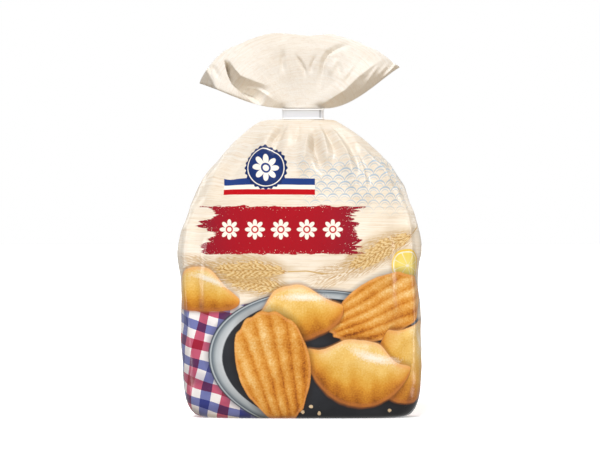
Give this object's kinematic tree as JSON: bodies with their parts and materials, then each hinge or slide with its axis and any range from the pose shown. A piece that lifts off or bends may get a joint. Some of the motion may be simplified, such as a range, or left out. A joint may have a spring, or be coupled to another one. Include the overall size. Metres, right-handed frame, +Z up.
{
  "type": "shut film bag of small cakes",
  "caption": "Printed film bag of small sponge cakes that stands on its flat base, gathered at the neck and shut by a white plastic band, with a fanned ruffle above.",
  "frame": {"origin": "middle of the flat base the bag stands on", "axes": "+Z up along the bag, front panel towards -Y, width along X"},
  "size_m": [0.1808, 0.0692, 0.2826],
  "materials": {
    "film": "glossy printed polypropylene film",
    "band": "white plastic, satin"
  },
  "bodies": {
    "root": {"bag": "film", "band": "band"}
  },
  "joints": []
}
